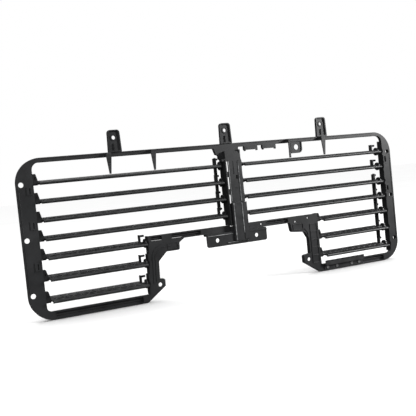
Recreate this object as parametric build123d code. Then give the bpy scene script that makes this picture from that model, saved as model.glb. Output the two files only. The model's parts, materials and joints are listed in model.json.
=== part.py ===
"""Active grille shutter: a moulded frame with two banks of pivoting vanes.

Frame: +X to the right, +Y from the front face towards the back, +Z up.
The origin is the centre of the side mounting holes, on the front face of the side flanges.
All sizes are in millimetres.
"""
from build123d import *
from math import cos, pi, sin
import os

# Overall frame
HALF_WIDTH = 448.0
TOP_Z = 155.0
BOTTOM_Z = -157.0
CORNER_R = 48.0
SKIN = 3.0
LIP = 2.5
LIP_DEPTH = 12.0
TOP_RAIL_Z = 146.0
BOTTOM_RAIL_Z = -141.0

# Side flanges and their mounting holes
HOLE_X = 439.0
HOLE_PITCH = 106.0
HOLE_R = 5.0
LEFT_WINDOW_X = -416.0
RIGHT_WINDOW_X = 424.0

# Notch under the middle, with a post and an ear each side
NOTCH_RAIL_TOP = -22.0
NOTCH_RAIL_BOTTOM = -35.0
LEFT_POST_WALL = -200.0
LEFT_POST_STEPS = {5: -200.0, 6: -203.0, 7: -206.0}
RIGHT_POST_WALL = 218.0
RIGHT_NOTCH = [
    (214.0, BOTTOM_Z),
    (172.5, -130.0),
    (172.5, -113.5),
    (189.8, -111.5),
    (189.8, -75.5),
    (180.5, -60.0),
    (146.0, -56.5),
    (143.0, NOTCH_RAIL_BOTTOM),
]
LEFT_NOTCH = [
    (-119.0, NOTCH_RAIL_BOTTOM),
    (-131.0, -43.0),
    (-131.5, -58.3),
    (-161.5, -58.3),
    (-180.3, -76.0),
    (-182.0, -113.0),
    (-171.0, -113.0),
    (-171.0, -128.0),
    (-212.0, BOTTOM_Z),
]
EAR_HOLES = [(-182.4, -124.0), (185.0, -124.0)]
EAR_HOLE_R = 4.25

# Centre column and the plate under it
COLUMN_LEFT_WALL = -12.0
COLUMN_RIGHT_WALL = 27.0
COLUMN_FRONT = -10.0
COLUMN_PLATE_LEFT = -5.0
COVER_TOP = 26.0
PLATE_HALF = 73.0
PLATE_BOTTOM = -63.0
PLATE_TOP = -38.0
PLATE_FRONT = -12.0
PLATE_HOLE_X = 47.8
PLATE_HOLE_Z = -49.6
PLATE_HOLE_R = 4.5

# Top tabs
TAB_X = 249.5
TAB_WIDTH = 28.0
TAB_TOP = 199.0
TAB_HOLE_Z = 183.7
TAB_HOLE_R = 4.0

# Vanes: rows from the top down, one pivot axis each
ROWS = [108.0, 72.0, 36.0, 0.0, -36.0, -77.0, -119.0]
UPPER_ROWS = 4
AXIS_Y = 10.0
CHORD = 40.0
LOWER_CHORD = 46.0
REST_TILT = 6.0
BLADE_T = 2.6
NOSE_R = 3.2
TAIL_R = 2.4
STUB_R = 4.0
RUN_CLEARANCE = 0.06
SNAP_HALF = 3.4
WALL_BACK = 17.0
FLARE_HALF = 9.5
SCALLOP_R = 9.0
END_GAP = 11.0
ARM_T = 2.5
LEFT_ARM_BACK = 13.0
RIGHT_ARM_BACK = 20.5
DISC_R = 9.5
DISC_STEP = 8.0
CRANK_Y = 10.5
CRANK_Z = 15.0
PIN_R = 2.3
OPEN_PIN_CLEARANCE = 0.35
BEARING_TOP = 17.0
LOW_BEARING_TOP = 14.5
BAR_STEP = 2.8
BAR_T = 3.0
BAR_W = 8.0
BAR_REAR = 3.0

# Drive
GEAR_X = -2.5
GEAR_W = 5.0
GEAR_MODULE = 0.8
GEAR_TEETH = 20
PINION_TEETH = 10
MOTOR_R = 5.5
LEFT_LINK_X = -424.0
COLUMN_LINK_X = 20.0
STRIP_SCREWS = [232.0, 258.0, 300.0, 322.0]
STRIP_SCREW_Z = -149.0

PARTS = "parts"


def box(x0, x1, y0, y1, z0, z1):
    """A block between two corners."""
    centre = Pos((x0 + x1) / 2, (y0 + y1) / 2, (z0 + z1) / 2)
    return centre * Box(x1 - x0, y1 - y0, z1 - z0)


def slab(face, y0, y1):
    """Extrudes a face drawn in X and Z from y0 to y1."""
    return Pos(0, y1, 0) * Rot(90, 0, 0) * extrude(face, amount=y1 - y0)


def outline(points, radii):
    """A closed face from corner points, each corner with its own radius."""
    path = FilletPolyline(*points, radius=radii, close=True)
    return make_face(path)


def rod_x(r, x0, x1, y, z):
    """A round bar along X."""
    return Pos((x0 + x1) / 2, y, z) * Rot(0, 90, 0) * Cylinder(r, x1 - x0)


def rod_y(r, x, z, y0, y1):
    """A round bar along Y."""
    return Pos(x, (y0 + y1) / 2, z) * Rot(90, 0, 0) * Cylinder(r, y1 - y0)


def side_profile(points, x0, x1):
    """Extrudes a polygon drawn in Y and Z from x0 to x1."""
    face = Plane.YZ * make_face(Polyline(*points, close=True))
    return Pos(x0, 0, 0) * extrude(face, amount=x1 - x0)


# ---------------------------------------------------------------- frame


def frame_outline():
    """The outer edge of the whole frame, clockwise from the top right."""
    points = [(HALF_WIDTH, TOP_Z), (HALF_WIDTH, BOTTOM_Z)]
    points += RIGHT_NOTCH + LEFT_NOTCH
    points += [(-HALF_WIDTH, BOTTOM_Z), (-HALF_WIDTH, TOP_Z)]
    right_radii = [4.0, 3.0, 3.0, 2.0, 6.0, 4.0, 6.0, 3.0]
    left_radii = [3.0, 3.0, 4.0, 4.0, 6.0, 2.0, 3.0, 3.0, 4.0]
    radii = [CORNER_R, CORNER_R] + right_radii + left_radii + [CORNER_R, CORNER_R]
    return outline(points, radii)


def left_window():
    """The opening that holds the left bank."""
    points = [
        (LEFT_WINDOW_X, TOP_RAIL_Z),
        (-30.5, TOP_RAIL_Z),
        (-26.2, 133.0),
        (-20.0, 130.3),
        (-19.3, 122.0),
        (COLUMN_LEFT_WALL, 119.5),
        (COLUMN_LEFT_WALL, NOTCH_RAIL_TOP),
        (LEFT_POST_WALL, NOTCH_RAIL_TOP),
        (LEFT_POST_WALL, -57.0),
        (LEFT_POST_STEPS[6], -60.0),
        (LEFT_POST_STEPS[6], -98.0),
        (LEFT_POST_STEPS[7], -101.0),
        (LEFT_POST_STEPS[7], BOTTOM_RAIL_Z),
        (LEFT_WINDOW_X, BOTTOM_RAIL_Z),
    ]
    radii = [14.0, 2.0, 2.0, 2.0, 2.0, 2.0, 2.0, 2.0, 1.5, 1.5, 1.5, 1.5, 3.0, 10.0]
    return outline(points, radii)


def right_window():
    """The opening that holds the right bank."""
    points = [
        (RIGHT_WINDOW_X, TOP_RAIL_Z),
        (COLUMN_RIGHT_WALL, TOP_RAIL_Z),
        (COLUMN_RIGHT_WALL, NOTCH_RAIL_TOP),
        (RIGHT_POST_WALL, NOTCH_RAIL_TOP),
        (RIGHT_POST_WALL, BOTTOM_RAIL_Z),
        (RIGHT_WINDOW_X, BOTTOM_RAIL_Z),
    ]
    return outline(points, [14.0, 0.5, 2.0, 2.0, 3.0, 10.0])


def edge_lip(face, inside, depth):
    """A thin wall that follows a face's edge, inside or outside it."""
    if inside:
        ring = face - offset(face, amount=-LIP)
    else:
        ring = offset(face, amount=LIP) - face
    return slab(ring, 0, depth)


def bearing_wall(x0, x1, z0, z1, y0=0.0):
    """A wall that carries vane pivots."""
    return box(x0, x1, y0, WALL_BACK, z0, z1)


def pivot_notches(x0, x1, rows):
    """The bores for the vane pivots in one wall. Each is open at the back through a flared
    notch, so that a pivot snaps in and the wall stands as a lobe between rows."""
    cuts = []
    for z in rows:
        cuts.append(rod_x(STUB_R + RUN_CLEARANCE, x0 - 1, x1 + 1, AXIS_Y, z))
        flare = [
            (AXIS_Y, z - SNAP_HALF),
            (AXIS_Y + 3.4, z - SNAP_HALF),
            (WALL_BACK + 1, z - FLARE_HALF),
            (WALL_BACK + 1, z + FLARE_HALF),
            (AXIS_Y + 3.4, z + SNAP_HALF),
            (AXIS_Y, z + SNAP_HALF),
        ]
        cuts.append(side_profile(flare, x0 - 1, x1 + 1))
    return cuts


def scallop(wall, z):
    """The shallow round cut in the front plate beside a vane's crank end."""
    return rod_y(SCALLOP_R, wall - 6.7, z, -1, SKIN)


def channel_rail(x0, x1, z0, z1):
    """Turns a flat stretch of rail into a channel that is open at the front."""
    pocket = box(x0, x1, -1, SKIN, z0 + LIP, z1 - LIP)
    middle = (z0 + z1) / 2
    web = box(x0 - LIP, x1 + LIP, 7.0, 9.5, z0 + LIP, z1 - LIP)
    rib = box(x0, x1, 4.0, 7.0, middle - 0.8, middle + 0.8)
    ends = box(x0 - LIP, x0, SKIN, 7.0, z0 + LIP, z1 - LIP)
    ends += box(x1, x1 + LIP, SKIN, 7.0, z0 + LIP, z1 - LIP)
    return pocket, web + rib + ends


def clip_pocket(x0, x1, z, half):
    """A raised frame round a deep pocket, a clip seat beside the right-hand window."""
    seat = box(x0, x1, -1.8, 0, z - half, z + half)
    seat += box(x0 + 1.2, x1 - 1.2, SKIN, 9.5, z - half + 1.2, z + half - 1.2)
    recess = box(x0 + 2.8, x1 - 2.8, -3, 8.0, z - half + 2.8, z + half - 2.8)
    return seat, recess


def flange_pad(x0, x1, z):
    """A small raised clip seat on a side flange, with a slot in it."""
    pad = box(x0, x1, -1.8, 0, z - 8, z + 8)
    slot = box(x0 + 5.0, x0 + 7.5, -3, 1.5, z - 5.5, z + 5.5)
    return pad, slot


def hanger(x, top_w, tip_w):
    """A wedge in front of the top vane, hung from the top rail as its stop."""
    face = make_face(
        Polyline(
            (x - top_w / 2, TOP_Z - 1),
            (x + top_w / 2, TOP_Z - 1),
            (x + top_w / 2, TOP_RAIL_Z - 2),
            (x + tip_w / 2, 112.0),
            (x - tip_w / 2, 112.0),
            (x - top_w / 2, TOP_RAIL_Z - 2),
            close=True,
        )
    )
    blade = slab(face, -14.5, -11.5)
    foot = box(x - top_w / 2, x + top_w / 2, -12.0, 0, TOP_RAIL_Z, TOP_Z - 1)
    return blade + foot


def tab(x):
    """A top mounting tab: a plate with forward edges, a rib and a hole."""
    half = TAB_WIDTH / 2
    points = [
        (x - half, TOP_Z),
        (x - half + 1.5, TAB_TOP),
        (x + half - 1.5, TAB_TOP),
        (x + half, TOP_Z),
    ]
    face = outline(points, [0.6, 6.0, 6.0, 0.6])
    plate = slab(face, 0, SKIN)
    rim = slab(face - offset(face, amount=-LIP), -3.5, 0)
    rib = box(x - 1.2, x + 1.2, -3.0, 0, TOP_Z + 1.0, 172.0)
    boss = rod_y(TAB_HOLE_R + 2.5, x, TAB_HOLE_Z, -1.2, 0)
    hole = rod_y(TAB_HOLE_R, x, TAB_HOLE_Z, -5, SKIN + 1)
    return plate + rim + rib + boss - hole


def centre_column():
    """The upright between the banks, open behind so the linkage can move in it."""
    wall_l = COLUMN_LEFT_WALL
    wall_r = COLUMN_RIGHT_WALL
    left = bearing_wall(wall_l, wall_l + LIP, NOTCH_RAIL_TOP, 120.0, -12.0)
    right = bearing_wall(wall_r - LIP, wall_r, NOTCH_RAIL_TOP, 140.0, COLUMN_FRONT)
    front = box(COLUMN_PLATE_LEFT, wall_r, COLUMN_FRONT, COLUMN_FRONT + LIP, -36.0, 118.0)
    head_points = [(-10.0, 117.0), (27.0, 117.0), (27.0, 126.5), (20.5, 136.5), (-10.0, 138.0)]
    head_face = make_face(Polyline(*head_points, close=True))
    head = slab(head_face, COLUMN_FRONT, COLUMN_FRONT + LIP)
    head += slab(head_face - offset(head_face, amount=-LIP), COLUMN_FRONT, 1.0)
    head += box(-19.0, wall_r, COLUMN_FRONT, SKIN, 117.0, 121.0)
    edge = box(20.0, wall_r, COLUMN_FRONT - 2.0, COLUMN_FRONT, COVER_TOP + 1.0, 116.0)
    column = left + right + front + head + edge
    bridge_back = COLUMN_FRONT + 6.0
    for z in (88.0, 50.0, -30.0):
        bridge = box(wall_l, COLUMN_PLATE_LEFT + 2.0, COLUMN_FRONT, bridge_back, z - 6.0, z + 6.0)
        column += bridge
    column -= box(12.0, 16.0, COLUMN_FRONT - 1, COLUMN_FRONT + 4, 77.0, 85.0)
    return column


def bottom_plate():
    """The forward plate under the column, with the lower mounting holes."""
    points = [
        (PLATE_HALF, PLATE_TOP),
        (PLATE_HALF, PLATE_BOTTOM),
        (-PLATE_HALF, PLATE_BOTTOM),
        (-PLATE_HALF, PLATE_TOP),
    ]
    face = outline(points, [1.0, 5.0, 5.0, 1.0])
    plate = slab(face, PLATE_FRONT, PLATE_FRONT + SKIN)
    shelf = box(-PLATE_HALF, PLATE_HALF, PLATE_FRONT, SKIN, PLATE_TOP - 1.0, NOTCH_RAIL_BOTTOM)
    plate = plate + shelf
    beads = [(-26.0, 27.0, -58.2, -56.4), (-73.0, -9.0, -40.2, -38.0), (29.0, 73.0, -40.2, -38.0)]
    for x0, x1, z0, z1 in beads:
        plate += box(x0, x1, PLATE_FRONT - 1.5, PLATE_FRONT, z0, z1)
    for x in (-PLATE_HOLE_X, PLATE_HOLE_X):
        plate -= rod_y(PLATE_HOLE_R, x, PLATE_HOLE_Z, PLATE_FRONT - 3, 0)
    return plate


def sensor_bracket():
    """A small plate with a round hole, in front of the top vane."""
    points = [(155.0, 149.0), (155.0, 121.0), (185.0, 121.0), (185.0, 149.0)]
    face = outline(points, [1.0, 2.0, 9.0, 2.0])
    plate = slab(face, -12.0, -9.5)
    rim = slab(face - offset(face, amount=-2.0), -14.0, -12.0)
    arm = box(155.0, 185.0, -10.0, 0, TOP_RAIL_Z, 149.0)
    hole = rod_y(6.2, 171.0, 134.5, -16, -8)
    return plate + rim + arm - hole


def whole_frame():
    """The complete moulding, before it is divided into members."""
    edge = frame_outline()
    plate = slab(edge - left_window() - right_window(), 0, SKIN)
    body = plate + edge_lip(edge, True, LIP_DEPTH)
    for window in (left_window(), right_window()):
        body += edge_lip(window, False, 9.0) & slab(edge, 0, 9.0)
    column_gap = box(COLUMN_LEFT_WALL + LIP, COLUMN_RIGHT_WALL - LIP, -1, 10, NOTCH_RAIL_TOP - 3.0, 116.0)
    body -= column_gap
    for x in (LEFT_WINDOW_X - LIP, RIGHT_WINDOW_X):
        body += bearing_wall(x, x + LIP, BOTTOM_RAIL_Z + 4.0, 132.0)
    upper = ROWS[:UPPER_ROWS]
    lower = ROWS[UPPER_ROWS:]
    body += bearing_wall(RIGHT_POST_WALL - LIP, RIGHT_POST_WALL, BOTTOM_RAIL_Z, NOTCH_RAIL_TOP)
    spans = {5: (-60.0, NOTCH_RAIL_TOP), 6: (-101.0, -58.0), 7: (BOTTOM_RAIL_Z, -99.0)}
    for row, wall in LEFT_POST_STEPS.items():
        body += bearing_wall(wall, wall + 4.0, spans[row][0], spans[row][1])
    rails = [
        (-400.0, -222.0, BOTTOM_Z, BOTTOM_RAIL_Z),
        (222.0, 400.0, BOTTOM_Z, BOTTOM_RAIL_Z),
        (-193.0, -169.0, NOTCH_RAIL_BOTTOM, NOTCH_RAIL_TOP),
        (-147.0, -80.0, NOTCH_RAIL_BOTTOM, NOTCH_RAIL_TOP),
        (80.0, 138.0, NOTCH_RAIL_BOTTOM, NOTCH_RAIL_TOP),
    ]
    for x0, x1, z0, z1 in rails:
        pocket, web = channel_rail(x0, x1, z0, z1)
        body = body - pocket + web
    body += centre_column() + bottom_plate() + sensor_bracket()
    for x0, x1, z in [(-430.0, -420.0, 93.0), (-430.0, -420.0, 27.0), (-430.0, -420.0, -52.0)]:
        pad, slot = flange_pad(x0, x1, z)
        body = body + pad - slot
    for z, half in [(88.0, 10.0), (18.0, 8.5)]:
        seat, recess = clip_pocket(424.5, 435.0, z, half)
        body = body + seat - recess
    for x in (-HOLE_X, HOLE_X):
        for z in (-HOLE_PITCH, 0, HOLE_PITCH):
            body -= rod_y(HOLE_R, x, z, -3, SKIN + 1)
    for x, z in EAR_HOLES:
        body -= rod_y(EAR_HOLE_R, x, z, -3, SKIN + 1)
    cuts = pivot_notches(LEFT_WINDOW_X - LIP, LEFT_WINDOW_X, ROWS)
    cuts += pivot_notches(RIGHT_WINDOW_X, RIGHT_WINDOW_X + LIP, ROWS)
    for row, wall in LEFT_POST_STEPS.items():
        cuts += pivot_notches(wall, wall + 4.0, [ROWS[row - 1]])
        cuts.append(scallop(wall, ROWS[row - 1]))
    cuts += pivot_notches(RIGHT_POST_WALL - LIP, RIGHT_POST_WALL, lower)
    cuts += pivot_notches(COLUMN_LEFT_WALL, COLUMN_LEFT_WALL + LIP, upper)
    cuts += pivot_notches(COLUMN_RIGHT_WALL - LIP, COLUMN_RIGHT_WALL, upper)
    cuts += [scallop(RIGHT_WINDOW_X, z) for z in ROWS]
    for cut in cuts:
        body -= cut
    for x, z in [(36.0, -31.0), (68.0, -28.5), (157.0, -34.0), (191.0, -29.0)]:
        body -= rod_y(2.0, x, z, -3, SKIN + 1)
    return body


def frame_members(body):
    """The moulding divided where its members meet, name by name."""
    big = 600.0
    side = 400.0
    post = 222.0
    centre = 75.0
    column = 34.0
    under_rail = 143.5
    low = NOTCH_RAIL_BOTTOM - 6.0
    regions = {
        "frame_side_left": [box(-big, -side, -50, 50, -big, big)],
        "frame_side_right": [box(side, big, -50, 50, -big, big)],
        "frame_top_rail": [
            box(-side, side, -50, 50, under_rail, big),
            box(-side, -column, -50, 50, 60, under_rail),
            box(column, side, -50, 50, 60, under_rail),
        ],
        "frame_bottom_rail_left": [box(-side, -post, -50, 50, -big, -100)],
        "frame_bottom_rail_right": [box(post, side, -50, 50, -big, -100)],
        "frame_post_left": [box(-post, -centre, -50, 50, -big, low)],
        "frame_post_right": [box(centre, post, -50, 50, -big, low)],
        "frame_notch_rail_left": [box(-post, -centre, -50, 50, low, 50)],
        "frame_notch_rail_right": [box(centre, post, -50, 50, low, 50)],
        "frame_centre": [
            box(-centre, centre, -50, 50, -big, 20),
            box(-column, column, -50, 50, 20, under_rail),
        ],
    }
    members = {}
    for name, blocks in regions.items():
        region = blocks[0]
        for block in blocks[1:]:
            region += block
        members[name] = body & region
    return members


# ---------------------------------------------------------------- vanes


def blade(x0, x1, half):
    """The blade of one vane: a thin web with a round nose and tail, and a round spine."""
    web = box(x0, x1, -half + NOSE_R, half - TAIL_R, -BLADE_T / 2, BLADE_T / 2)
    nose = rod_x(NOSE_R, x0, x1, -half + NOSE_R, 0)
    tail = rod_x(TAIL_R, x0, x1, half - TAIL_R, 0)
    part = web + nose + tail + rod_x(3.2, x0, x1, 0, 0)
    return Rot(REST_TILT, 0, 0) * part


def blade_front(x0, x1, half):
    """The front part of a blade alone. The link bar passes behind it."""
    web = box(x0, x1, -half + NOSE_R, 5.0, -BLADE_T / 2, BLADE_T / 2)
    nose = rod_x(NOSE_R, x0, x1, -half + NOSE_R, 0)
    return Rot(REST_TILT, 0, 0) * (web + nose)


def vane(wall_left, wall_right, z, arm0, front_end, pin_end, crank_x=None):
    """One vane. Its crank plate stands at arm0, the front of the blade runs on to front_end
    and the crank pin to pin_end. A round disc stands before the right pivot. Where crank_x is
    given, the left pivot runs on through the wall to a second crank there."""
    x0 = wall_left + END_GAP
    arm1 = arm0 + ARM_T
    disc0 = arm0 + DISC_STEP
    half = (CHORD if z > -18.0 else LOWER_CHORD) / 2
    part = blade(x0, arm1, half) + blade_front(arm1, front_end, half)
    part += box(arm0, arm1, 4.0, 14.2, 0.5, CRANK_Z + PIN_R + 0.3)
    part += rod_x(PIN_R, arm0 + 0.5, pin_end, CRANK_Y, CRANK_Z)
    part += rod_x(STUB_R, arm0, wall_right + 4.0, 0, 0)
    part += rod_x(DISC_R, disc0, disc0 + 2.5, 0, 0)
    left_end = wall_left - 6.0
    if crank_x is not None:
        left_end = crank_x
        part += crank(crank_x, crank_x + 3.5)
        part += rod_x(PIN_R, crank_x - 5.5, crank_x, CRANK_Y, CRANK_Z)
    part += rod_x(STUB_R, left_end, x0 + 4.0, 0, 0)
    return Pos(0, AXIS_Y, z) * part


def crank(x0, x1):
    """A crank arm from the pivot to the pin, up and back."""
    hub = rod_x(5.5, x0, x1, 0, 0)
    eye = rod_x(4.2, x0, x1, CRANK_Y, CRANK_Z)
    points = [
        (-3.4, 2.4),
        (3.4, -2.4),
        (CRANK_Y + 3.4, CRANK_Z - 2.4),
        (CRANK_Y - 3.4, CRANK_Z + 2.4),
    ]
    return hub + eye + side_profile(points, x0, x1)


def link_bar(x0, x1, rows, first_clear):
    """A flat bar with one hole per crank pin. The row in first_clear keeps a running fit."""
    y = AXIS_Y + CRANK_Y
    top = rows[0] + CRANK_Z
    bottom = rows[-1] + CRANK_Z
    bar = box(x0, x1, y - BAR_W / 2, y + BAR_W / 2 + BAR_REAR, bottom, top)
    bar += rod_x(BAR_W / 2, x0, x1, y, top) + rod_x(BAR_W / 2, x0, x1, y, bottom)
    for z in rows:
        clearance = RUN_CLEARANCE if z == first_clear else OPEN_PIN_CLEARANCE
        bar -= rod_x(PIN_R + clearance, x0 - 1, x1 + 1, y, z + CRANK_Z)
    return bar


def bearing_block(x, z, top):
    """The snap-in bearing at a vane's left end: a box with a sloping inner side."""
    points = [(x, -5.0), (x + 9.5, -5.0), (x + 9.5, 5.5), (x + 6.5, top), (x, top)]
    face = outline(points, [0.8, 0.8, 1.5, 1.0, 0.8])
    block = Pos(0, 0, z) * slab(face, AXIS_Y - 6.0, AXIS_Y + 6.0)
    block -= box(x + 3.6, x + 5.4, AXIS_Y - 7.0, AXIS_Y + 7.0, z + 5.4, z + 11.5)
    return block - rod_x(STUB_R + RUN_CLEARANCE, x - 1, x + 11, AXIS_Y, z)


def bearing_bank(upper_x, lower_x, corner_top):
    """The seven bearings of one bank. The first lower one has its own height, because the
    vane above it closes past its corner."""
    blocks = []
    for row, z in enumerate(ROWS, start=1):
        x = upper_x if row <= UPPER_ROWS else lower_x
        top = corner_top if row == UPPER_ROWS + 1 else BEARING_TOP
        blocks.append(bearing_block(x, z, top))
    return blocks


# ---------------------------------------------------------------- drive


def gear(teeth, x0, x1, bore_r, phase):
    """A spur gear on the X axis with straight-sided teeth and running backlash."""
    pitch_r = GEAR_MODULE * teeth / 2
    root_r = pitch_r - 1.15 * GEAR_MODULE
    tip_r = pitch_r + 0.8 * GEAR_MODULE
    step = 2 * pi / teeth
    points = []
    for i in range(teeth):
        centre = phase + i * step
        for r, half in ((root_r, 0.30), (tip_r, 0.12)):
            points.append((r * cos(centre - half * step), r * sin(centre - half * step)))
        for r, half in ((tip_r, 0.12), (root_r, 0.30)):
            points.append((r * cos(centre + half * step), r * sin(centre + half * step)))
    wheel = side_profile(points, x0, x1)
    return wheel - rod_x(bore_r, x0 - 1, x1 + 1, 0, 0)


def output_shaft():
    """The shaft that turns row four of both banks, with a square drive at each end."""
    shaft = rod_x(STUB_R, -8.0, 15.5, AXIS_Y, 0)
    drive = box(-13.0, 20.0, AXIS_Y - 1.9, AXIS_Y + 1.9, -1.9, 1.9)
    return shaft + drive


def socket(x0, x1):
    """The square hole in a vane's pivot that the output shaft drives."""
    return box(x0, x1, AXIS_Y - 2.2, AXIS_Y + 2.2, -2.2, 2.2)


def actuator_housing():
    """A tray behind the column, open at the back, with bores for the output shaft."""
    tray = box(-4.0, 13.5, -7.5, 20.5, -24.0, 24.0)
    tray -= box(-2.2, 11.7, -5.7, 21.0, -22.2, 22.2)
    tray -= rod_x(STUB_R + RUN_CLEARANCE, -5, 15, AXIS_Y, 0)
    for z in (-20.0, 20.0):
        tray += box(2.0, 7.5, -5.7, 20.5, z - 2.2, z + 2.2)
        tray -= rod_y(1.2, 4.75, z, 10, 21)
    return tray


def housing_lid():
    """The flat lid on the back of the actuator housing."""
    lid = box(-4.0, 13.5, 20.5, 22.3, -24.0, 24.0)
    for z in (-20.0, 20.0):
        lid -= rod_y(1.6, 4.75, z, 20, 23)
    return lid


def screw(x, z, y_head, y_tip, shank_r, head_r):
    """A pan head screw along Y. Its head lies beyond y_head, away from the tip."""
    out = -1.0 if y_tip > y_head else 1.0
    shank = rod_y(shank_r, x, z, min(y_head, y_tip), max(y_head, y_tip))
    top = y_head + out * head_r * 0.55
    head = rod_y(head_r, x, z, min(y_head, top), max(y_head, top))
    slot = box(x - head_r * 0.6, x + head_r * 0.6, top - 0.5, top + 0.5, z - 0.35, z + 0.35)
    cross = box(x - 0.35, x + 0.35, top - 0.5, top + 0.5, z - head_r * 0.6, z + head_r * 0.6)
    return shank + head - slot - cross


def actuator_cover():
    """The box on the front of the lower column."""
    x0 = COLUMN_PLATE_LEFT - 2.0
    x1 = COLUMN_RIGHT_WALL
    shell = box(x0, x1, -17.0, COLUMN_FRONT, -56.0, COVER_TOP)
    shell -= box(x0 + 1.8, x1 - 1.8, -15.2, COLUMN_FRONT + 1, -54.2, COVER_TOP - 1.8)
    corner = [(x0 - 1, -14.5), (x0 - 1, -18.0), (x0 + 2.5, -18.0)]
    wedge = extrude(make_face(Polyline(*corner, close=True)), amount=90.0)
    shell -= Pos(0, 0, -60.0) * wedge
    shell += box(16.6, x1, -18.2, -17.0, -54.0, COVER_TOP)
    shell -= box(x0 - 1, x1 + 1, PLATE_FRONT, COLUMN_FRONT + 1, -60.0, NOTCH_RAIL_BOTTOM)
    return shell


def connector():
    """The wiring socket behind the bottom plate, open downwards, with three pins."""
    shell = box(-4.0, 18.0, PLATE_FRONT + SKIN, 6.0, -60.0, -41.0)
    shell -= box(-2.2, 16.2, PLATE_FRONT + SKIN + 1.8, 4.2, -61.0, -45.0)
    for x in (2.0, 7.0, 12.0):
        shell += box(x - 0.5, x + 0.5, -2.5, -1.5, -55.0, -44.0)
    return shell


def trim_strip():
    """The raised retainer strip in front of the right bottom rail."""
    profile = [
        (0, -156.0),
        (-2.5, -156.0),
        (-2.5, -144.0),
        (-9.0, -144.0),
        (-9.0, -132.5),
        (-6.8, -132.5),
        (-6.8, -141.8),
        (0, -141.8),
    ]
    strip = side_profile(profile, 224.0, 334.0)
    for x in STRIP_SCREWS:
        strip -= rod_y(1.9, x, STRIP_SCREW_Z, -4, 1)
    return strip


def harness_clips():
    """Two wiring clips and a hook under the top rail."""
    solids = []
    for x0, x1 in ((44.5, 77.5), (90.5, 124.5)):
        clip = box(x0, x1, 0, 8.0, 138.0, TOP_RAIL_Z)
        clip -= box(x0 + 3.0, x1 - 3.0, 1.8, 9.0, 140.0, 144.2)
        clip += box(x0, x0 + 3.0, 0, 5.0, 135.5, 138.0)
        clip += box(x1 - 3.0, x1, 0, 5.0, 135.5, 138.0)
        solids.append(clip)
    hook = box(27.6, 30.6, 3.2, 9.0, 136.0, TOP_RAIL_Z)
    hook += box(27.6, 34.6, 3.2, 9.0, 136.0, 138.0)
    solids.append(hook)
    return solids


# ---------------------------------------------------------------- all nodes


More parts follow.
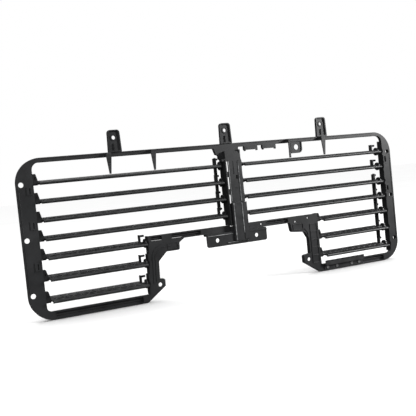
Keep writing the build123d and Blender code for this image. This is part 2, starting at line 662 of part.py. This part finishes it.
def main():
    """Writes every node as one STEP file."""
    os.makedirs(PARTS, exist_ok=True)
    nodes = {}
    body = whole_frame()
    web_holes = [rod_y(1.8, x, STRIP_SCREW_Z, -1, 10) for x in STRIP_SCREWS]
    for hole in web_holes:
        body -= hole
    nodes.update(frame_members(body))
    stops = [hanger(x, 10.0, 3.2) for x in (-267.0, -173.0, 245.0)]
    stops.append(hanger(152.0, 3.5, 3.5))
    nodes["vane_stops"] = Compound(stops)
    for name, x in (("left", -TAB_X), ("centre", 0.0), ("right", TAB_X)):
        nodes[f"mounting_tab_{name}"] = tab(x)
    left_cranked = {4, 5, 6, 7}
    for row, z in enumerate(ROWS, start=1):
        upper = row <= UPPER_ROWS
        right_wall = COLUMN_LEFT_WALL if upper else LEFT_POST_STEPS[row]
        crank_x = LEFT_LINK_X if row in left_cranked else None
        arm0 = right_wall - LEFT_ARM_BACK
        front_end = arm0 + (3.5 if row == 1 else DISC_STEP)
        pin_end = arm0 + (10.0 if upper else 12.0)
        left = vane(LEFT_WINDOW_X, right_wall, z, arm0, front_end, pin_end, crank_x)
        left_wall = COLUMN_RIGHT_WALL if upper else RIGHT_POST_WALL
        crank_x = COLUMN_LINK_X if upper else None
        arm0 = RIGHT_WINDOW_X - RIGHT_ARM_BACK
        pin_end = arm0 + (13.5 if row <= 2 else 10.0)
        right = vane(left_wall, RIGHT_WINDOW_X, z, arm0, arm0 + DISC_STEP, pin_end, crank_x)
        if row == UPPER_ROWS:
            left -= socket(-13.5, -7.0)
            right += rod_x(STUB_R, 16.0, COLUMN_LINK_X, AXIS_Y, 0)
            right -= socket(15.0, 20.5)
        nodes[f"vane_left_{row}"] = left
        nodes[f"vane_right_{row}"] = right
    left_bar = COLUMN_LEFT_WALL - LEFT_ARM_BACK + BAR_STEP
    right_bar = RIGHT_WINDOW_X - RIGHT_ARM_BACK + BAR_STEP
    nodes["link_bar_left"] = link_bar(left_bar, left_bar + BAR_T, ROWS[:4], ROWS[0])
    nodes["link_bar_right"] = link_bar(right_bar, right_bar + BAR_T, ROWS[2:], ROWS[2])
    nodes["drive_link_left"] = link_bar(LEFT_LINK_X - 4.5, LEFT_LINK_X - 1.0, ROWS[3:], ROWS[3])
    nodes["drive_link_centre"] = link_bar(COLUMN_LINK_X - 4.5, COLUMN_LINK_X - 1.0, ROWS[:4], ROWS[0])
    nodes["bearings_left_bank"] = Compound(bearing_bank(LEFT_WINDOW_X, LEFT_WINDOW_X, BEARING_TOP))
    right_bank = bearing_bank(COLUMN_RIGHT_WALL, RIGHT_POST_WALL, LOW_BEARING_TOP)
    nodes["bearings_right_bank"] = Compound(right_bank)
    nodes["output_shaft"] = output_shaft()
    gear_phase = -pi / 2
    pinion_phase = pi / 2 + pi / PINION_TEETH
    wheel = gear(GEAR_TEETH, GEAR_X + 1.0, GEAR_X + GEAR_W, STUB_R, gear_phase)
    nodes["output_gear"] = Pos(0, AXIS_Y, 0) * wheel
    drop = GEAR_MODULE * (GEAR_TEETH + PINION_TEETH) / 2
    pinion = gear(PINION_TEETH, GEAR_X + 1.0, GEAR_X + GEAR_W, 1.2, pinion_phase)
    nodes["motor_pinion"] = Pos(0, AXIS_Y, -drop) * pinion
    motor = rod_x(MOTOR_R, 4.2, 11.7, AXIS_Y, -drop) + rod_x(2.2, 3.2, 4.2, AXIS_Y, -drop)
    nodes["drive_motor"] = motor
    nodes["motor_shaft"] = rod_x(1.2, -1.7, 3.0, AXIS_Y, -drop)
    nodes["actuator_housing"] = actuator_housing()
    nodes["housing_lid"] = housing_lid()
    lid_screws = [screw(4.75, z, 22.3, 12.0, 1.2, 2.4) for z in (-20.0, 20.0)]
    nodes["housing_screws"] = Compound(lid_screws)
    nodes["actuator_cover"] = actuator_cover()
    nodes["connector_socket"] = connector()
    nodes["trim_strip"] = trim_strip()
    strip_screws = [screw(x, STRIP_SCREW_Z, -2.5, 9.5, 1.7, 3.2) for x in STRIP_SCREWS]
    nodes["trim_strip_screws"] = Compound(strip_screws)
    nodes["harness_clips"] = Compound(harness_clips())
    for name, shape in nodes.items():
        export_step(shape, f"{PARTS}/{name}.step")


main()
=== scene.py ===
"""Looks of the active grille shutter: materials, moulded relief, stage, lights and camera.

Lengths are in metres, apart from the lines given to relief, which are in millimetres.
"""
import json
import math

import bpy
from mathutils import Matrix, Vector


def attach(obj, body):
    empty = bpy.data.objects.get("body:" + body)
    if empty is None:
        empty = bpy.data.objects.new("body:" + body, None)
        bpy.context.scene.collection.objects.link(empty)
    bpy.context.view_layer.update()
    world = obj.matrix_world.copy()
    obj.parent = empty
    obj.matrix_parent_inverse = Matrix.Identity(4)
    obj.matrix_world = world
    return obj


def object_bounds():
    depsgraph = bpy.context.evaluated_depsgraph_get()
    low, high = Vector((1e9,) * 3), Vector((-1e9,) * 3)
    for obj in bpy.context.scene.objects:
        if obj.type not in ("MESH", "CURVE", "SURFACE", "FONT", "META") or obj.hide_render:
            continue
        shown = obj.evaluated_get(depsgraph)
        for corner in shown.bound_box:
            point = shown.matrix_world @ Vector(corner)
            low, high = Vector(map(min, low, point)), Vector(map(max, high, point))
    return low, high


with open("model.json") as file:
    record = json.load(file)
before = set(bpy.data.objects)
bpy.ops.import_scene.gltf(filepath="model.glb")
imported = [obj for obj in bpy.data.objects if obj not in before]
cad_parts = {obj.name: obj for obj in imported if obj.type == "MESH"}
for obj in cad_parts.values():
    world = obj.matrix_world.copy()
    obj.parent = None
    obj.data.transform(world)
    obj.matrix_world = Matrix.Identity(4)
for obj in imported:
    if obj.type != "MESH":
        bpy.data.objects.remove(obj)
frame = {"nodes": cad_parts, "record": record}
cad_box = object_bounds()
nodes = frame["nodes"]
joints = {j["name"]: j for j in frame["record"]["behaviour"]["joints"]}

# Camera, from a fit to the photograph
CAMERA_AT = Vector((-0.6423, -1.2559, 0.0797))
CAMERA_HEADING = math.radians(-24.964)
CAMERA_PITCH = math.radians(-2.425)
CAMERA_ROLL = math.radians(-5.797)
LENS_MM = 56.25
SENSOR_MM = 36.0
CLIP_START = 0.01

# Edges of the openings along X. The column and posts stand between the two banks.
LEFT_WINDOW = -0.416
RIGHT_WINDOW = 0.424
COLUMN = (-0.012, 0.027)
LEFT_POST = {5: -0.200, 6: -0.203, 7: -0.206}
RIGHT_POST = 0.218
SIDES = ("left", "right")
ROWS = range(1, 8)
LAST_LONG_ROW = 4

# Room that a blade leaves at its pivot end, and at its crank end in each bank
PIVOT_ROOM = 0.011
LEFT_CRANK_ROOM = 0.0105
RIGHT_CRANK_ROOM = 0.018

# Truss ribs on the vanes
REST_TILT = math.radians(6.0)
WEB_HALF = 0.0013
RIB_FROM_START = 0.004
RIB_FROM_END = 0.008
RIB_PITCH = 0.0165
RIB_HALF_WIDTH = 0.0008
RIB_RISE = 0.0012
RIB_SINK = 0.0003
UPPER_REACH = 0.0135
LOWER_REACH = 0.0160

# Ridges on the frame, and the depths of the faces that they stand on
MM_PER_M = 1000
RIDGE_SINK = 0.0004
FRAME_FACE = 0.0
STRIP_FACE = -0.009
COLUMN_FACE = -0.010
PLATE_FACE = -0.0135
COVER_FACE = -0.017
ARC_STEPS = 10
MITRE_LIMIT = 0.3

# Rounding of sharp edges
NODE_ROUND = 0.00035
NODE_ROUND_FROM = math.radians(50)
RIDGE_ROUND = 0.00025
ROUND_STEPS = 2

# Stage. A light is its place, what it points at, its width, height and power.
KEY_LIGHT = ((-1.7, -2.6, 1.2), (-0.2, 0, 0), 1.6, 1.4, 46.0)
SIDE_LIGHT = ((2.02, -1.62, 0.86), (0.42, 0, 0.14), 0.62, 0.66, 64.0)
SUN_POWER = 3.2
SUN_SPREAD = math.radians(70)
SUN_TILT = math.radians(-12)
SEEN_WORLD = 1.0
FILL_WORLD = 0.06
FLOOR_HALF = 30.0
FLOOR_GAP = 0.0006

# Stretch of a texture along X, Y and Z
EVEN = (1.0, 1.0, 1.0)
ALONG_X = (0.06, 1.0, 1.0)
FIBRES = (0.35, 1.0, 1.0)
PATCHES = (0.4, 1.0, 1.0)
TURNING = (1.0, 12.0, 1.0)


# ---------------------------------------------------------------- materials


class Shader:
    """A Principled material built from procedural textures in object space."""

    def __init__(self, name, roughness, specular=0.5):
        self.mat = bpy.data.materials.new(name)
        self.mat.use_nodes = True
        self.tree = self.mat.node_tree
        self.tree.nodes.clear()
        out = self.tree.nodes.new("ShaderNodeOutputMaterial")
        self.bsdf = self.tree.nodes.new("ShaderNodeBsdfPrincipled")
        self.link(self.bsdf.outputs[0], out.inputs[0])
        self.bsdf.inputs["Roughness"].default_value = roughness
        self.bsdf.inputs["Specular IOR Level"].default_value = specular
        self.coords = self.tree.nodes.new("ShaderNodeTexCoord")

    def link(self, a, b):
        self.tree.links.new(a, b)

    def space(self, stretch):
        node = self.tree.nodes.new("ShaderNodeMapping")
        node.inputs["Scale"].default_value = stretch
        self.link(self.coords.outputs["Object"], node.inputs["Vector"])
        return node.outputs[0]

    def noise(self, stretch, scale, detail=3.0, roughness=0.55, distortion=0.0):
        node = self.tree.nodes.new("ShaderNodeTexNoise")
        node.inputs["Scale"].default_value = scale
        node.inputs["Detail"].default_value = detail
        node.inputs["Roughness"].default_value = roughness
        node.inputs["Distortion"].default_value = distortion
        self.link(self.space(stretch), node.inputs["Vector"])
        return node.outputs["Fac"]

    def ramp(self, value, stops):
        """A colour for each value, from a list of positions and colours."""
        node = self.tree.nodes.new("ShaderNodeValToRGB")
        marks = node.color_ramp.elements
        while len(marks) < len(stops):
            marks.new(0.5)
        for mark, (at, colour) in zip(marks, stops):
            mark.position = at
            mark.color = (*colour, 1.0)
        self.link(value, node.inputs[0])
        return node.outputs[0]

    def spread(self, value, low, high, out_low, out_high):
        """Carries the range low to high over to out_low to out_high."""
        node = self.tree.nodes.new("ShaderNodeMapRange")
        keys = ("From Min", "From Max", "To Min", "To Max")
        for key, number in zip(keys, (low, high, out_low, out_high)):
            node.inputs[key].default_value = number
        self.link(value, node.inputs[0])
        return node.outputs[0]

    def mix(self, factor, a, b, blend):
        node = self.tree.nodes.new("ShaderNodeMix")
        node.data_type = "RGBA"
        node.blend_type = blend
        node.inputs[0].default_value = factor
        self.link(a, node.inputs[6])
        self.link(b, node.inputs[7])
        return node.outputs[2]

    def bump(self, height, distance, strength, under=None):
        node = self.tree.nodes.new("ShaderNodeBump")
        node.inputs["Distance"].default_value = distance
        node.inputs["Strength"].default_value = strength
        self.link(height, node.inputs["Height"])
        if under is not None:
            self.link(under, node.inputs["Normal"])
        return node.outputs[0]

    def colour(self, source):
        self.link(source, self.bsdf.inputs["Base Color"])

    def rough(self, source):
        self.link(source, self.bsdf.inputs["Roughness"])

    def normal(self, source):
        self.link(source, self.bsdf.inputs["Normal"])


def frame_plastic():
    """Glass-filled black nylon: fine mould texture, faint flow clouds and glass streaks."""
    s = Shader("frame_plastic_look", roughness=0.42)
    cloud = s.noise(EVEN, 22.0, detail=4.0)
    fibre = s.noise(FIBRES, 900.0, detail=2.0)
    base = s.ramp(cloud, [
        (0.30, (0.015, 0.0155, 0.0165)),
        (0.72, (0.024, 0.0245, 0.026)),
    ])
    flecks = s.ramp(fibre, [
        (0.50, (0.0, 0.0, 0.0)),
        (0.80, (0.016, 0.016, 0.017)),
    ])
    s.colour(s.mix(0.6, base, flecks, "ADD"))
    s.rough(s.spread(cloud, 0.3, 0.75, 0.38, 0.50))
    grain = s.noise(EVEN, 2600.0, detail=2.0)
    wave = s.noise(EVEN, 60.0, detail=2.0)
    waves = s.bump(wave, distance=0.0004, strength=0.25)
    s.normal(s.bump(grain, distance=0.00006, strength=0.5, under=waves))
    return s.mat


def vane_plastic():
    """The vanes' nylon, with streaks where the melt ran along the blade."""
    s = Shader("vane_plastic_look", roughness=0.40)
    streak = s.noise(ALONG_X, 420.0, detail=5.0, roughness=0.65, distortion=0.4)
    cloud = s.noise(EVEN, 45.0)
    base = s.ramp(streak, [
        (0.36, (0.008, 0.0085, 0.009)),
        (0.64, (0.044, 0.045, 0.047)),
    ])
    dark = s.ramp(cloud, [
        (0.3, (0.75, 0.75, 0.75)),
        (0.7, (1.0, 1.0, 1.0)),
    ])
    s.colour(s.mix(0.8, base, dark, "MULTIPLY"))
    s.rough(s.spread(streak, 0.3, 0.7, 0.34, 0.52))
    grain = s.noise(EVEN, 2300.0, detail=2.0)
    streaks = s.bump(streak, distance=0.0003, strength=0.35)
    s.normal(s.bump(grain, distance=0.00005, strength=0.5, under=streaks))
    return s.mat


def acetal(name, low, high, roughness):
    """Unfilled acetal: smooth, a little waxy, with faint clouding."""
    s = Shader(name, roughness)
    cloud = s.noise(EVEN, 70.0)
    s.colour(s.ramp(cloud, [(0.3, low), (0.7, high)]))
    s.rough(s.spread(cloud, 0.3, 0.7, roughness - 0.05, roughness + 0.07))
    grain = s.noise(EVEN, 1800.0, detail=2.0)
    s.normal(s.bump(grain, distance=0.00003, strength=0.4))
    return s.mat


def plated_steel(name, low, high, roughness):
    """Zinc-plated steel with fine turning marks."""
    s = Shader(name, roughness)
    s.bsdf.inputs["Metallic"].default_value = 1.0
    marks = s.noise(TURNING, 700.0)
    s.colour(s.ramp(marks, [(0.3, low), (0.7, high)]))
    s.rough(s.spread(marks, 0.3, 0.7, roughness - 0.08, roughness + 0.1))
    s.normal(s.bump(marks, distance=0.00004, strength=0.4))
    return s.mat


def crest_highlight_plastic(name, low, high):
    """The same nylon, lightened to stand for the light that thin crests catch."""
    s = Shader(name, roughness=0.36)
    patch = s.noise(PATCHES, 160.0)
    s.colour(s.ramp(patch, [(0.38, low), (0.66, high)]))
    s.rough(s.spread(patch, 0.3, 0.7, 0.30, 0.48))
    grain = s.noise(EVEN, 2300.0, detail=2.0)
    s.normal(s.bump(grain, distance=0.00005, strength=0.5))
    return s.mat


# Painted highlight: the vane ribs' colour runs from the black nylon up to a pale grey that stands
# for the light their crests catch.
RIB_PAINTED_HIGHLIGHT_LOOK = crest_highlight_plastic("vane_rib_painted_highlight_look", (0.016, 0.0165, 0.017), (0.13, 0.132, 0.135))
# Painted highlight: pale grey ridges that stand for the bright light on the edges of the column,
# the cover and the plate.
EDGE_PAINTED_HIGHLIGHT_LOOK = crest_highlight_plastic("crest_painted_highlight_look", (0.12, 0.122, 0.125), (0.42, 0.425, 0.43))
LOOKS = {
    "frame_plastic": frame_plastic(),
    "vane_plastic": vane_plastic(),
    "link_plastic": acetal(
        "link_plastic_look", (0.010, 0.010, 0.011), (0.018, 0.018, 0.019), 0.34),
    "bearing_plastic": acetal(
        "bearing_plastic_look", (0.010, 0.010, 0.011), (0.017, 0.017, 0.018), 0.36),
    "cover_plastic": acetal(
        "cover_plastic_look", (0.022, 0.0225, 0.0235), (0.030, 0.0305, 0.032), 0.38),
    "gear_plastic": acetal(
        "gear_plastic_look", (0.62, 0.61, 0.57), (0.74, 0.73, 0.69), 0.35),
    "motor_steel": plated_steel(
        "motor_steel_look", (0.42, 0.42, 0.43), (0.56, 0.56, 0.57), 0.32),
    "screw_steel": plated_steel(
        "screw_steel_look", (0.34, 0.34, 0.35), (0.5, 0.5, 0.5), 0.34),
}


def soften(obj, width, angle=None):
    """Rounds an object's edges that are sharper than an angle, or than Blender's own 30 degrees."""
    soft = obj.modifiers.new("soft_edges", "BEVEL")
    soft.width = width
    soft.segments = ROUND_STEPS
    soft.limit_method = "ANGLE"
    if angle is not None:
        soft.angle_limit = angle


def dress_nodes():
    """Gives each CAD node the look of its slot, and softens its edges."""
    slots = {row["node"]: row["material_slot"] for row in frame["record"]["subparts"]}
    for name, obj in nodes.items():
        obj.data.materials.clear()
        obj.data.materials.append(LOOKS[slots[name]])
        soften(obj, NODE_ROUND, NODE_ROUND_FROM)


# ---------------------------------------------------------------- pieces


def ribbon(points, half_width, z0, z1):
    """A closed solid that follows a polyline in X and Y, between two heights."""
    left = []
    right = []
    for i, p in enumerate(points):
        before = points[max(i - 1, 0)]
        after = points[min(i + 1, len(points) - 1)]
        a = (p - before).normalized() if i else (after - p).normalized()
        b = (after - p).normalized() if i < len(points) - 1 else a
        bisector = (a + b).normalized()
        side = Vector((-bisector.y, bisector.x))
        reach = half_width / max(MITRE_LIMIT, side.dot(Vector((-a.y, a.x))))
        left.append(p + side * reach)
        right.append(p - side * reach)
    verts = []
    for l, r in zip(left, right):
        verts += [(l.x, l.y, z0), (l.x, l.y, z1), (r.x, r.y, z1), (r.x, r.y, z0)]
    faces = [(0, 1, 2, 3)]
    for i in range(len(points) - 1):
        k = 4 * i
        for j in range(4):
            n = (j + 1) % 4
            faces.append((k + j, k + 4 + j, k + 4 + n, k + n))
    k = 4 * (len(points) - 1)
    faces.append((k + 3, k + 2, k + 1, k))
    return verts, faces


def mesh_piece(name, parts, look, body):
    """One object from several closed solids, riding on a body."""
    verts = []
    faces = []
    for v, f in parts:
        start = len(verts)
        verts += v
        faces += [tuple(i + start for i in face) for face in f]
    mesh = bpy.data.meshes.new(name)
    mesh.from_pydata(verts, [], faces)
    mesh.validate()
    mesh.update()
    mesh.materials.append(look)
    obj = bpy.data.objects.new(name, mesh)
    bpy.context.scene.collection.objects.link(obj)
    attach(obj, body)
    return obj


def blade_span(side, row):
    """Where one vane's blade starts and ends along X."""
    inner = COLUMN if row <= LAST_LONG_ROW else (LEFT_POST[row], RIGHT_POST)
    if side == "left":
        return LEFT_WINDOW + PIVOT_ROOM, inner[0] - LEFT_CRANK_ROOM
    return inner[1] + PIVOT_ROOM, RIGHT_WINDOW - RIGHT_CRANK_ROOM


def vane_ribs(side, row):
    """The crossed truss ribs moulded on both faces of one vane."""
    node = f"vane_{side}_{row}"
    axis = Vector(joints[f"{node}_turn"]["pos_m"])
    start, end = blade_span(side, row)
    x0 = start + RIB_FROM_START
    x1 = end - RIB_FROM_END
    count = round((x1 - x0) / RIB_PITCH)
    step = (x1 - x0) / count
    reach = UPPER_REACH if row <= LAST_LONG_ROW else LOWER_REACH
    parts = []
    for first in (1, -1):
        points = []
        for i in range(count + 1):
            sign = first if i % 2 == 0 else -first
            points.append(Vector((x0 + i * step, sign * reach)))
        parts.append(ribbon(points, RIB_HALF_WIDTH, WEB_HALF - RIB_SINK, WEB_HALF + RIB_RISE))
        parts.append(ribbon(points, RIB_HALF_WIDTH, -WEB_HALF - RIB_RISE, -WEB_HALF + RIB_SINK))
    turn = Matrix.Translation((0, axis.y, axis.z)) @ Matrix.Rotation(REST_TILT, 4, "X")
    turned = []
    for verts, faces in parts:
        turned.append(([tuple(turn @ Vector(v)) for v in verts], faces))
    # The ribs take the lightened look, a painted highlight along their crests.
    mesh_piece(f"{node}_ribs", turned, RIB_PAINTED_HIGHLIGHT_LOOK, node)


def relief(name, lines, slot, face_y, rise, half_width, look=None):
    """Ridges on a face of the frame that looks forward, one per line in X and Z."""
    parts = []
    for line in lines:
        points = [Vector((x / MM_PER_M, z / MM_PER_M)) for x, z in line]
        verts, faces = ribbon(points, half_width, face_y - rise, face_y + RIDGE_SINK)
        standing = [(x, depth, z) for x, z, depth in verts]
        parts.append((standing, [tuple(reversed(face)) for face in faces]))
    obj = mesh_piece(name, parts, look or LOOKS[slot], "frame")
    soften(obj, RIDGE_ROUND)


def upright(x, z0, z1):
    """A straight line up the frame."""
    return [(x, z0), (x, z1)]


def level(x0, x1, z):
    """A straight line across the frame."""
    return [(x0, z), (x1, z)]


def loop(x0, x1, z0, z1):
    """A rectangle as a closed line, started in the middle of its lower side."""
    middle = (x0 + x1) / 2
    return [(middle, z0), (x1, z0), (x1, z1), (x0, z1), (x0, z0), (middle, z0)]


def arc(x, z, radius, start, end):
    """Points along an arc, in degrees from +X."""
    turn = [math.radians(start + (end - start) * i / ARC_STEPS) for i in range(ARC_STEPS + 1)]
    return [(x + radius * math.cos(a), z + radius * math.sin(a)) for a in turn]


def post_reliefs():
    """Ribs beside the notch. The cross ribs on the right post are a guess."""
    outer = [(-190.0, -118.0), (-188.0, -80.0)] + arc(-166.0, -70.0, 22.0, 180.0, 105.0)
    outer.append((-150.0, -47.0))
    inner = [(-196.0, -120.0), (-194.0, -80.0)] + arc(-166.0, -68.0, 28.0, 180.0, 105.0)
    left = [outer, inner, loop(-158.0, -136.0, -54.0, -42.0)]
    relief("post_relief_left", left, "frame_plastic", FRAME_FACE,
           rise=0.0011, half_width=0.0006)
    right = [loop(195.0, 213.0, -134.0, -44.0), loop(150.0, 176.0, -53.0, -40.0)]
    right += [level(195.0, 213.0, z) for z in (-62.0, -80.0, -98.0, -116.0)]
    right.append([(178.0, -52.0)] + arc(170.0, -68.0, 18.0, 60.0, 0.0))
    relief("post_relief_right", right, "frame_plastic", FRAME_FACE,
           rise=0.0014, half_width=0.0007)


def border_reliefs():
    """Ribs along the top rail, and along the side flanges, where they are a guess."""
    rail = [
        level(-395.0, -15.0, 153.3),
        level(40.0, 395.0, 153.3),
        level(-395.0, -36.0, 147.4),
        level(190.0, 395.0, 147.4),
    ]
    relief("top_rail_relief", rail, "frame_plastic", FRAME_FACE,
           rise=0.0012, half_width=0.0007)
    halves = ((-100.0, -6.0), (6.0, 100.0))
    flange = [upright(x, z0, z1) for x in (-444.5, 444.5) for z0, z1 in halves]
    relief("flange_relief", flange, "frame_plastic", FRAME_FACE,
           rise=0.0009, half_width=0.0007)


def centre_reliefs():
    """Ribs on the column, and light edges that stand for its highlights in the photograph."""
    column = [
        upright(-3.6, 30.0, 116.0),
        upright(8.0, 88.0, 116.0),
        level(8.0, 18.0, 58.0),
    ]
    relief("column_relief", column, "frame_plastic", COLUMN_FACE,
           rise=0.0010, half_width=0.0006)
    # The next three sets of ridges carry painted highlights: pale grey lines in place of the light
    # on the column's edges, the cover's edges and the plate's bead.
    edges = [upright(19.2, 28.0, 115.0), upright(-4.2, 30.0, 116.0)]
    relief("column_painted_highlight_edges", edges, "frame_plastic", COLUMN_FACE,
           rise=0.0016, half_width=0.0007, look=EDGE_PAINTED_HIGHLIGHT_LOOK)
    band = [upright(-3.9, -54.0, 25.0), upright(15.9, -40.0, 25.0)]
    relief("cover_painted_highlight_edges", band, "cover_plastic", COVER_FACE,
           rise=0.0010, half_width=0.0009, look=EDGE_PAINTED_HIGHLIGHT_LOOK)
    bead = [level(-25.0, 26.0, -57.3), level(-71.0, -11.0, -39.1)]
    relief("plate_painted_highlight_edges", bead, "frame_plastic", PLATE_FACE,
           rise=0.0007, half_width=0.0006, look=EDGE_PAINTED_HIGHLIGHT_LOOK)


def frame_reliefs():
    """The ridges that ride on the frame. Their courses are simplified."""
    post_reliefs()
    border_reliefs()
    centre_reliefs()
    teeth = [level(x, x + 6.0, -133.3) for x in range(228, 330, 14)]
    relief("strip_teeth", teeth, "cover_plastic", STRIP_FACE,
           rise=0.0016, half_width=0.0013)


# ---------------------------------------------------------------- stage


def background(tree, strength):
    """An even white background."""
    node = tree.nodes.new("ShaderNodeBackground")
    node.inputs[0].default_value = (1.0, 1.0, 1.0, 1.0)
    node.inputs[1].default_value = strength
    return node


def surround():
    """A world that is white to the camera and only a weak fill light on the object."""
    world = bpy.data.worlds.new("studio")
    bpy.context.scene.world = world
    world.use_nodes = True
    tree = world.node_tree
    tree.nodes.clear()
    out = tree.nodes.new("ShaderNodeOutputWorld")
    seen = background(tree, SEEN_WORLD)
    fill = background(tree, FILL_WORLD)
    path = tree.nodes.new("ShaderNodeLightPath")
    mix = tree.nodes.new("ShaderNodeMixShader")
    tree.links.new(path.outputs["Is Camera Ray"], mix.inputs[0])
    tree.links.new(fill.outputs[0], mix.inputs[1])
    tree.links.new(seen.outputs[0], mix.inputs[2])
    tree.links.new(mix.outputs[0], out.inputs[0])


def pale_floor():
    """A floor just under the object. It throws no light or reflection back onto it."""
    mesh = bpy.data.meshes.new("floor")
    s = FLOOR_HALF
    z = cad_box[0][2] - FLOOR_GAP
    mesh.from_pydata([(-s, -s, z), (s, -s, z), (s, s, z), (-s, s, z)], [], [(0, 1, 2, 3)])
    floor = bpy.data.objects.new("floor", mesh)
    bpy.context.scene.collection.objects.link(floor)
    look = Shader("floor_look", roughness=0.9, specular=0.1)
    cloud = look.noise(EVEN, 3.0, detail=2.0)
    look.colour(look.ramp(cloud, [
        (0.3, (0.93, 0.93, 0.93)),
        (0.7, (0.96, 0.96, 0.96)),
    ]))
    mesh.materials.append(look.mat)
    floor.visible_diffuse = False
    floor.visible_glossy = False


def area_light(name, at, towards, width, height, power):
    """A soft rectangular light."""
    data = bpy.data.lights.new(name, "AREA")
    data.shape = "RECTANGLE"
    data.size = width
    data.size_y = height
    data.energy = power
    obj = bpy.data.objects.new(name, data)
    obj.location = at
    aim = Vector(towards) - Vector(at)
    obj.rotation_euler = aim.to_track_quat("-Z", "Y").to_euler()
    bpy.context.scene.collection.objects.link(obj)


def overhead_sun():
    """A wide, soft light from above."""
    sun = bpy.data.lights.new("overhead", "SUN")
    sun.energy = SUN_POWER
    sun.angle = SUN_SPREAD
    lamp = bpy.data.objects.new("overhead", sun)
    lamp.rotation_euler = (SUN_TILT, 0, 0)
    bpy.context.scene.collection.objects.link(lamp)


def stage():
    """A pale floor, a white surround and soft studio lights."""
    surround()
    pale_floor()
    area_light("key", *KEY_LIGHT)
    area_light("side", *SIDE_LIGHT)
    overhead_sun()


def camera():
    """The camera at the photograph's viewing angle."""
    data = bpy.data.cameras.new("camera")
    data.lens = LENS_MM
    data.sensor_width = SENSOR_MM
    data.clip_start = CLIP_START
    obj = bpy.data.objects.new("camera", data)
    bpy.context.scene.collection.objects.link(obj)
    heading = Matrix.Rotation(CAMERA_HEADING, 4, "Z")
    pitch = Matrix.Rotation(math.pi / 2 + CAMERA_PITCH, 4, "X")
    roll = Matrix.Rotation(CAMERA_ROLL, 4, "Z")
    obj.matrix_world = Matrix.Translation(CAMERA_AT) @ heading @ pitch @ roll
    bpy.context.scene.camera = obj


bpy.context.scene.view_settings.view_transform = "Standard"
dress_nodes()
for side in SIDES:
    for row in ROWS:
        vane_ribs(side, row)
frame_reliefs()
stage()
camera()
